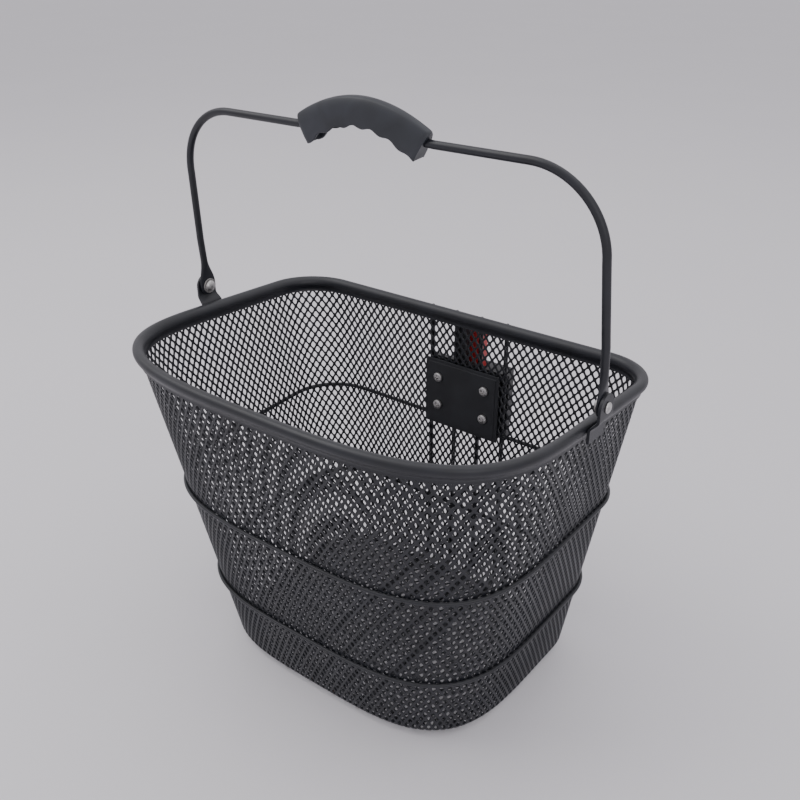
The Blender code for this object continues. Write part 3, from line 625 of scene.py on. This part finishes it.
def bail_line():
    """Centre line of the bail's right half as (x, height over the pivots), up to the middle."""
    arm = [(ARM_X, h) for h in (0.0235, 0.030, 0.040)]
    arm += [(ARM_X - 0.0006 - (ARM_X - 0.0006 - SHOULDER_X) * t, 0.050 + 0.0437 * t)
            for t in np.linspace(0.0, 0.9, 6)]
    turn = arc((SHOULDER_X - CORNER_R, CROSSBAR - CORNER_R), CORNER_R, 0.0, 90.0, 20)
    flat = [(x, CROSSBAR) for x in np.linspace(SHOULDER_X - CORNER_R, ARCH_HALF, 9)[1:-1]]
    arch = [(x, CROSSBAR + ARCH_RISE * 0.5 * (1.0 + math.cos(math.pi * x / ARCH_HALF)))
            for x in np.linspace(ARCH_HALF, 0.0, 13)]
    return arm + turn + flat + arch


def bail(name, sides=20):
    y_axis = Vector((0.0, 1.0, 0.0))
    turns = (np.arange(sides) + 0.5) * 2.0 * math.pi / sides
    spade = []
    for h in (-0.995, -0.96, -0.88, -0.74, -0.55, -0.30, 0.0, 0.4, 0.9, 1.3, 1.7, 2.1, 2.5, 2.9):
        morph = smooth_step(h, 0.3, 2.9)
        round_half = SPADE_R * math.sqrt(max(1.0 - min(h, 0.0) ** 2, 0.0))
        half = round_half + (ARM_R - round_half) * morph
        thick = SPADE_HALF_T * min(1.0, 0.75 + round_half / SPADE_R) + (ARM_R - SPADE_HALF_T) * morph ** 1.5
        boxy = 0.55 + 0.45 * morph
        spade.append((h * SPADE_R, half, thick, boxy))
    rings = []
    for side in (1.0, -1.0):
        group = []
        for height, half, thick, boxy in spade:
            ring = []
            for t in turns:
                a, b = math.cos(t), math.sin(t)
                a, b = (math.copysign(abs(v) ** boxy, v) for v in (a, b))
                ring.append(Vector((side * (ARM_X + b * thick), half * a, height)))
            group.append(ring)
        rings.append(group)
    half_line = bail_line()
    line = [Vector((x, 0.0, h)) for x, h in half_line] + [Vector((-x, 0.0, h)) for x, h in half_line[-2::-1]]
    wire = []
    for k, point in enumerate(line):
        along = (line[min(k + 1, len(line) - 1)] - line[max(k - 1, 0)]).normalized()
        out = y_axis.cross(along).normalized()
        wire.append([point + ARM_R * (math.cos(t) * y_axis + math.sin(t) * out) for t in turns])
    return loft(name, rings[0] + wire + rings[1][::-1])


coat_on_handle = powder_coat("coat_on_handle", (0.0096, 0.0108, 0.0156), dust=0.06, gloss=0.36)
handle = bail("bail_wire")
handle.data.transform(on_pivot)
handle.data.materials.append(coat_on_handle)
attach(handle, "handle")
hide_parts("carry_handle")


# ---------------------------------------------------------------- pivots
# Each arm turns on a bright zinc-plated rivet, peened over a plain washer on the inside.

def plated_steel(name, tint, rough):
    """Zinc-plated steel: bright, slightly grey, with fine turning marks and dull patches."""
    mat = bpy.data.materials.new(name)
    mat.use_nodes = True
    tree = mat.node_tree
    tree.nodes.clear()
    bright_frame = tree.nodes.new("NodeFrame")
    bright_frame.label = "plating"
    mark_frame = tree.nodes.new("NodeFrame")
    mark_frame.label = "tool marks"

    place = tree.nodes.new("ShaderNodeTexCoord")
    place.label = "metres on the basket"
    place.location = (-1100, 0)

    cloud = tree.nodes.new("ShaderNodeTexNoise")
    cloud.label = "dull patches"
    cloud.location = (-880, 160)
    cloud.parent = bright_frame
    cloud.inputs["Scale"].default_value = 380.0
    cloud.inputs["Detail"].default_value = 5.0

    tones = tree.nodes.new("ShaderNodeValToRGB")
    tones.label = "plating tones"
    tones.location = (-640, 260)
    tones.parent = bright_frame
    tones.color_ramp.elements[0].position = 0.30
    tones.color_ramp.elements[0].color = (*[0.62 * c for c in tint], 1.0)
    tones.color_ramp.elements[1].position = 0.65
    tones.color_ramp.elements[1].color = (*tint, 1.0)

    haze = tree.nodes.new("ShaderNodeMapRange")
    haze.label = "roughness of the patches"
    haze.location = (-640, 20)
    haze.parent = bright_frame
    haze.inputs["To Min"].default_value = rough + 0.14
    haze.inputs["To Max"].default_value = rough - 0.04

    scratch = tree.nodes.new("ShaderNodeTexNoise")
    scratch.label = "fine marks"
    scratch.location = (-880, -260)
    scratch.parent = mark_frame
    scratch.inputs["Scale"].default_value = 2600.0
    scratch.inputs["Detail"].default_value = 3.0

    relief = tree.nodes.new("ShaderNodeBump")
    relief.label = "mark relief"
    relief.location = (-640, -260)
    relief.parent = mark_frame
    relief.inputs["Strength"].default_value = 0.3
    relief.inputs["Distance"].default_value = 0.0001

    shader = tree.nodes.new("ShaderNodeBsdfPrincipled")
    shader.label = "zinc"
    shader.location = (-320, 60)
    shader.inputs["Metallic"].default_value = 1.0

    output = tree.nodes.new("ShaderNodeOutputMaterial")
    output.location = (0, 60)

    tree.links.new(place.outputs["Object"], cloud.inputs["Vector"])
    tree.links.new(place.outputs["Object"], scratch.inputs["Vector"])
    tree.links.new(cloud.outputs["Fac"], tones.inputs["Fac"])
    tree.links.new(cloud.outputs["Fac"], haze.inputs["Value"])
    tree.links.new(scratch.outputs["Fac"], relief.inputs["Height"])
    tree.links.new(tones.outputs["Color"], shader.inputs["Base Color"])
    tree.links.new(haze.outputs["Result"], shader.inputs["Roughness"])
    tree.links.new(relief.outputs["Normal"], shader.inputs["Normal"])
    tree.links.new(shader.outputs["BSDF"], output.inputs["Surface"])
    return mat


def turned(name, profile, axis, centre, sides=40, closed=False):
    """Turns (along, radius) pairs round an axis through centre."""
    other = Vector((0.0, 0.0, 1.0))
    side = other.cross(axis)
    rings = []
    if closed:
        for t in np.arange(sides) * 2.0 * math.pi / sides:
            radial = math.cos(t) * side + math.sin(t) * other
            rings.append([centre + along * axis + radius * radial for along, radius in profile])
        return loft(name, rings, closed=True, sharp=35.0)
    for along, radius in profile:
        rings.append([centre + along * axis + radius * (math.cos(t) * side + math.sin(t) * other)
                      for t in np.arange(sides) * 2.0 * math.pi / sides])
    return loft(name, rings, sharp=35.0)


zinc = plated_steel("zinc_plated_steel", (0.66, 0.65, 0.64), 0.30)
washer_tone = plated_steel("zinc_plated_washer", (0.42, 0.41, 0.40), 0.42)
PIVOT_GAP = 0.0003
STEM_R, HEAD_R, TAIL_R = 0.0024, 0.0045, 0.0037
WASHER_BORE_R, WASHER_R, WASHER_T = 0.0028, 0.0060, 0.0008
WASHER_EDGE = 0.0002
washer_x = ARM_X - SPADE_HALF_T - PIVOT_GAP
head_x = washer_x - WASHER_T - PIVOT_GAP
ear_out_x = EAR_HEAD_X + EAR_T + PIVOT_GAP

for side_name, side in (("left", -1.0), ("right", 1.0)):
    outward_axis = Vector((side, 0.0, 0.0))
    middle = Vector((0.0, PIVOT.y, PIVOT.z))
    dome = [(head_x - 0.0022 * math.cos(a), max(HEAD_R * math.sin(a), 0.0004))
            for a in np.linspace(0.08, 1.45, 9)]
    stem = [(head_x, HEAD_R), (head_x, STEM_R), (ear_out_x, STEM_R), (ear_out_x, TAIL_R)]
    upset = [(ear_out_x + 0.0003, TAIL_R)]
    upset += [(ear_out_x + 0.0004 + 0.0014 * math.sin(a), TAIL_R * math.cos(a))
              for a in np.linspace(0.1, 1.45, 7)]
    rivet = turned(f"handle_rivet_{side_name}", dome + stem + upset, outward_axis, middle)
    rivet.data.materials.append(zinc)
    inner_x = washer_x - WASHER_T
    ring = [(inner_x, WASHER_BORE_R), (inner_x, WASHER_R - WASHER_EDGE), (inner_x + 0.0002, WASHER_R),
            (washer_x - 0.0001, WASHER_R), (washer_x, WASHER_R - WASHER_EDGE), (washer_x, WASHER_BORE_R)]
    washer = turned(f"handle_washer_{side_name}", ring, outward_axis, middle, closed=True)
    washer.data.materials.append(washer_tone)
    for piece, node in ((rivet, f"pivot_rivet_{side_name}"), (washer, f"pivot_washer_{side_name}")):
        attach(piece, "basket")
        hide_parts(node)


# ---------------------------------------------------------------- grip
# A moulded black plastic grip snapped over the arched wire: narrow on top, flared below, with finger
# scallops along its lower edges and a hollow underside.

GRIP_END = 0.054
GRIP_CROWN, GRIP_DROP, GRIP_DEPTH = 0.1680, 0.0165, 0.0195
GRIP_HOLLOWED, GRIP_DEEPER_ENDS = 0.0018, 0.0028     # palm hollow in the middle, extra depth at the ends
GRIP_SKIN = [(0.0064, None), (0.0064, 0.0150), (0.0061, 0.0115), (0.0056, 0.0075), (0.0049, 0.0045),
             (0.0041, 0.0025), (0.0034, 0.0012), (0.0029, 0.0005), (0.0020, 0.0001)]   # half width, depth
GRIP_ROOF = 0.0026
GRIP_HOLLOW = [(0.0045, None), (0.0044, 0.0120), (0.0034, 0.0060), (0.0018, GRIP_ROOF + 0.0004)]
GRIP_SEAL = 0.0002           # the hollow closes to this depth in the end walls
SCALLOP, SCALLOP_PITCH, SCALLOP_PHASE = 0.0009, 0.0180, 0.005


def grip_frame(x):
    share = x / GRIP_END
    crown = Vector((x, 0.0, GRIP_CROWN - GRIP_DROP * share * share))
    down = Vector((-2.0 * GRIP_DROP * share / GRIP_END, 0.0, -1.0)).normalized()
    wave = math.cos(2.0 * math.pi * (x - SCALLOP_PHASE) / SCALLOP_PITCH)
    depth = GRIP_DEPTH - GRIP_HOLLOWED + GRIP_DEEPER_ENDS * share * share + SCALLOP * wave
    return crown, down, depth


def grip_body(name):
    """Outer skin, rolled lower edges and hollow in one loft; solid end walls close the last stations."""
    rings = []
    stations = np.linspace(-GRIP_END, GRIP_END, 97).tolist()
    for x in stations:
        crown, down, depth = grip_frame(x)
        from_end = min(x + GRIP_END, GRIP_END - x)
        ease = 0.0007 * (1.0 - smooth_step(from_end, 0.0, 0.0016))
        points = [(h - ease, depth if d is None else d + ease) for h, d in GRIP_SKIN]
        closed_at = depth - GRIP_SEAL
        open_below = smooth_step(from_end, 0.0036, 0.0040)
        sunk = [(h, (depth if d is None else d)) for h, d in GRIP_HOLLOW]
        sunk = [(h, closed_at + (d - closed_at) * open_below) for h, d in sunk]
        right = [(points[0][0] - 0.0006, depth + 0.0003)] + points
        ring = [(-h, d) for h, d in right] + [(0.0, 0.0)] + [(h, d) for h, d in reversed(right)]
        ring += sunk + [(0.0, closed_at + (GRIP_ROOF - closed_at) * open_below)]
        ring += [(-h, d) for h, d in reversed(sunk)]
        rings.append([crown + Vector((0.0, a, 0.0)) + d * down for a, d in ring])
    return loft(name, rings, sharp=38.0)


def moulded_plastic(name, colour, rough, grain=1.0, mottled=0.25):
    """Injection-moulded plastic: spark-eroded grain, slight sheen, faint flow marks and rubbed spots."""
    mat = bpy.data.materials.new(name)
    mat.use_nodes = True
    tree = mat.node_tree
    tree.nodes.clear()
    tint_frame = tree.nodes.new("NodeFrame")
    tint_frame.label = "tint of the plastic"
    grain_frame = tree.nodes.new("NodeFrame")
    grain_frame.label = "mould grain"

    place = tree.nodes.new("ShaderNodeTexCoord")
    place.label = "metres on the basket"
    place.location = (-1200, 0)

    flow = tree.nodes.new("ShaderNodeTexNoise")
    flow.label = "flow marks"
    flow.location = (-960, 260)
    flow.parent = tint_frame
    flow.inputs["Scale"].default_value = 40.0
    flow.inputs["Detail"].default_value = 3.0
    flow.inputs["Distortion"].default_value = 0.8

    tones = tree.nodes.new("ShaderNodeValToRGB")
    tones.label = "tones"
    tones.location = (-720, 300)
    tones.parent = tint_frame
    tones.color_ramp.elements[0].position = 0.30
    tones.color_ramp.elements[0].color = (*[(1.0 - mottled) * c for c in colour], 1.0)
    tones.color_ramp.elements[1].position = 0.72
    tones.color_ramp.elements[1].color = (*[(1.0 + mottled) * c for c in colour], 1.0)

    rub = tree.nodes.new("ShaderNodeMapRange")
    rub.label = "rubbed smoother in patches"
    rub.location = (-720, 40)
    rub.parent = tint_frame
    rub.inputs["From Min"].default_value = 0.25
    rub.inputs["From Max"].default_value = 0.75
    rub.inputs["To Min"].default_value = rough + 0.07
    rub.inputs["To Max"].default_value = rough - 0.07

    grit = tree.nodes.new("ShaderNodeTexNoise")
    grit.label = "spark-eroded grain"
    grit.location = (-960, -260)
    grit.parent = grain_frame
    grit.inputs["Scale"].default_value = 2200.0
    grit.inputs["Detail"].default_value = 4.0

    relief = tree.nodes.new("ShaderNodeBump")
    relief.label = "grain relief"
    relief.location = (-720, -260)
    relief.parent = grain_frame
    relief.inputs["Strength"].default_value = 0.30 * grain
    relief.inputs["Distance"].default_value = 0.00015

    shader = tree.nodes.new("ShaderNodeBsdfPrincipled")
    shader.label = "plastic"
    shader.location = (-360, 80)
    shader.inputs["IOR"].default_value = 1.50

    output = tree.nodes.new("ShaderNodeOutputMaterial")
    output.location = (-60, 80)

    tree.links.new(place.outputs["Object"], flow.inputs["Vector"])
    tree.links.new(place.outputs["Object"], grit.inputs["Vector"])
    tree.links.new(flow.outputs["Fac"], tones.inputs["Fac"])
    tree.links.new(flow.outputs["Fac"], rub.inputs["Value"])
    tree.links.new(grit.outputs["Fac"], relief.inputs["Height"])
    tree.links.new(tones.outputs["Color"], shader.inputs["Base Color"])
    tree.links.new(rub.outputs["Result"], shader.inputs["Roughness"])
    tree.links.new(relief.outputs["Normal"], shader.inputs["Normal"])
    tree.links.new(shader.outputs["BSDF"], output.inputs["Surface"])
    return mat


grip_plastic = moulded_plastic("grip_plastic", (0.020, 0.023, 0.030), 0.46)
grip = grip_body("hand_grip")
grip.data.transform(on_pivot)
grip.data.materials.append(grip_plastic)
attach(grip, "handle")
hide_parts("handle_grip")


# ---------------------------------------------------------------- backing plate and screws
# A pressed black plate inside the bowl, held by four pan-head screws that run through the mesh into
# the bracket behind.

def ease_edges(node, width, segments=2):
    """Rounds the sharp edges of a CAD node, whose split corners are joined first."""
    join = node.modifiers.new("joined corners", "WELD")
    join.merge_threshold = 0.00001
    edge = node.modifiers.new("eased edge", "BEVEL")
    edge.width = width
    edge.segments = segments
    edge.limit_method = "ANGLE"
    edge.angle_limit = math.radians(50.0)


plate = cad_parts["backing_plate"]
plate_coat = powder_coat("coat_on_plate", (0.0120, 0.0132, 0.0168), dust=0.0, gloss=0.5)
plate.data.materials.clear()
plate.data.materials.append(plate_coat)
ease_edges(plate, 0.0003)

SCREW_PLACES = [(x, z) for z in (0.1679, 0.1935) for x in (-0.0227, 0.0227)]
SCREW_SHANK_R, SCREW_HEAD_R, SCREW_HEAD_TALL = 0.0020, 0.0041, 0.0025
CROSS_LONG, CROSS_WIDE, CROSS_DEEP = 0.0024, 0.00055, 0.0013


def pan_head_screw(name, x, z, turn):
    """A cross-recess pan-head screw whose head sits on the plate, facing -Y."""
    low, end = (corner.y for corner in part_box("plate_screw_1"))
    head = [(0.0, 0.0009), (0.00012, 0.0022), (0.0004, 0.0032), (0.0009, 0.0039), (0.0015, SCREW_HEAD_R),
            (SCREW_HEAD_TALL, SCREW_HEAD_R), (SCREW_HEAD_TALL, SCREW_SHANK_R), (end - low, SCREW_SHANK_R)]
    screw = turned(name, head, Vector((0.0, 1.0, 0.0)), Vector((x, low, z)), sides=32)
    for k in range(2):
        bm = bmesh.new()
        bmesh.ops.create_cube(bm, size=1.0)
        size = Matrix.Diagonal((2.0 * CROSS_LONG, 2.0 * CROSS_DEEP, 2.0 * CROSS_WIDE, 1.0))
        spin = Matrix.Rotation(turn + k * math.pi / 2.0, 4, "Y")
        bmesh.ops.transform(bm, matrix=Matrix.Translation((x, low, z)) @ spin @ size, verts=bm.verts)
        mesh = bpy.data.meshes.new(f"{name}_blade_{k}")
        bm.to_mesh(mesh)
        bm.free()
        blade = bpy.data.objects.new(f"{name}_blade_{k}", mesh)
        bpy.context.scene.collection.objects.link(blade)
        cut = screw.modifiers.new("cross recess", "BOOLEAN")
        cut.object = blade
        cut.solver = "EXACT"
    bpy.context.view_layer.update()
    shape = bpy.data.meshes.new_from_object(screw.evaluated_get(bpy.context.evaluated_depsgraph_get()))
    for cut in list(screw.modifiers):
        blade = cut.object
        screw.modifiers.remove(cut)
        bpy.data.objects.remove(blade)
    screw.data = shape
    return screw


for number, (x, z) in enumerate(SCREW_PLACES, start=1):
    screw = pan_head_screw(f"cross_screw_{number}", x, z, 0.4 + 0.9 * number)
    screw.data.materials.clear()
    screw.data.materials.append(zinc)
    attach(screw, "basket")
    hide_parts(f"plate_screw_{number}")


# ---------------------------------------------------------------- bracket and adapter block
# Black nylon mouldings: the bracket bolted to the basket, the adapter block that slides into its
# rails, and the latch between them. Their solids come from the CAD model.

nylon = moulded_plastic("black_nylon", (0.022, 0.023, 0.026), 0.48, grain=1.2)

for name in ("basket_bracket", "adapter_housing", "latch_pawl"):
    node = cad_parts[name]
    node.data.materials.clear()
    node.data.materials.append(nylon)
    ease_edges(node, 0.0006)


# ---------------------------------------------------------------- release button
# The red thumb button on top of the adapter. Pressing it draws the latch and frees the basket.

red_plastic = moulded_plastic("red_plastic", (0.50, 0.022, 0.022), 0.34, grain=0.5, mottled=0.12)
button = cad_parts["release_button"]
button.data.materials.clear()
button.data.materials.append(red_plastic)
ease_edges(button, 0.0009, 3)


# ---------------------------------------------------------------- small steel parts
# The button's spring and the nuts in the bracket are plain zinc-plated steel.

for name in ("button_spring", "plate_nut_1", "plate_nut_2", "plate_nut_3", "plate_nut_4"):
    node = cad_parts[name]
    node.data.materials.clear()
    node.data.materials.append(zinc)
    if name != "button_spring":
        ease_edges(node, 0.0002)


# ---------------------------------------------------------------- floor and light
# A plain pale studio floor under soft light from a large window-like source on the left and above.

def pale_floor():
    mat = bpy.data.materials.new("pale_floor")
    mat.use_nodes = True
    tree = mat.node_tree
    tree.nodes.clear()
    place = tree.nodes.new("ShaderNodeTexCoord")
    place.label = "metres on the floor"
    place.location = (-900, 0)
    cloud = tree.nodes.new("ShaderNodeTexNoise")
    cloud.label = "faint unevenness"
    cloud.location = (-680, 0)
    cloud.inputs["Scale"].default_value = 3.0
    cloud.inputs["Detail"].default_value = 3.0
    tones = tree.nodes.new("ShaderNodeValToRGB")
    tones.label = "floor tones"
    tones.location = (-460, 0)
    tones.color_ramp.elements[0].color = (0.72, 0.705, 0.735, 1.0)
    tones.color_ramp.elements[1].color = (0.75, 0.735, 0.765, 1.0)
    shader = tree.nodes.new("ShaderNodeBsdfPrincipled")
    shader.label = "matt board"
    shader.location = (-160, 0)
    shader.inputs["Roughness"].default_value = 0.55
    output = tree.nodes.new("ShaderNodeOutputMaterial")
    output.location = (140, 0)
    tree.links.new(place.outputs["Object"], cloud.inputs["Vector"])
    tree.links.new(cloud.outputs["Fac"], tones.inputs["Fac"])
    tree.links.new(tones.outputs["Color"], shader.inputs["Base Color"])
    tree.links.new(shader.outputs["BSDF"], output.inputs["Surface"])
    return mat


FLOOR_REACH, FLOOR_LEVEL = 20.0, -0.0005

floor_mesh = bpy.data.meshes.new("studio_floor")
floor_corners = [(a * FLOOR_REACH, b * FLOOR_REACH, FLOOR_LEVEL) for a, b in ((-1, -1), (1, -1), (1, 1), (-1, 1))]
floor_mesh.from_pydata(floor_corners, [], [(0, 1, 2, 3)])
floor_mesh.materials.append(pale_floor())
studio_floor = bpy.data.objects.new("studio_floor", floor_mesh)
bpy.context.scene.collection.objects.link(studio_floor)


def soft_light(name, place, target, size, watts, colour):
    data = bpy.data.lights.new(name, "AREA")
    data.shape = "RECTANGLE"
    data.size, data.size_y = size
    data.energy = watts
    data.color = colour
    light = bpy.data.objects.new(name, data)
    light.location = place
    light.rotation_euler = (Vector(target) - Vector(place)).to_track_quat("-Z", "Y").to_euler()
    bpy.context.scene.collection.objects.link(light)


soft_light("key_softbox", (-1.1, -0.6, 1.9), (0.0, 0.0, 0.15), (1.6, 1.6), 17.0, (1.0, 0.985, 0.97))
soft_light("top_softbox", (0.3, 0.6, 2.3), (0.0, 0.0, 0.1), (2.2, 2.2), 11.0, (0.97, 0.98, 1.0))
soft_light("right_fill", (1.5, -0.9, 1.0), (0.0, 0.0, 0.15), (1.4, 1.4), 6.0, (1.0, 0.98, 0.97))

world = bpy.data.worlds.new("studio")
bpy.context.scene.world = world
world.use_nodes = True
world.node_tree.nodes["Background"].inputs["Color"].default_value = (0.80, 0.78, 0.82, 1.0)
world.node_tree.nodes["Background"].inputs["Strength"].default_value = 1.02
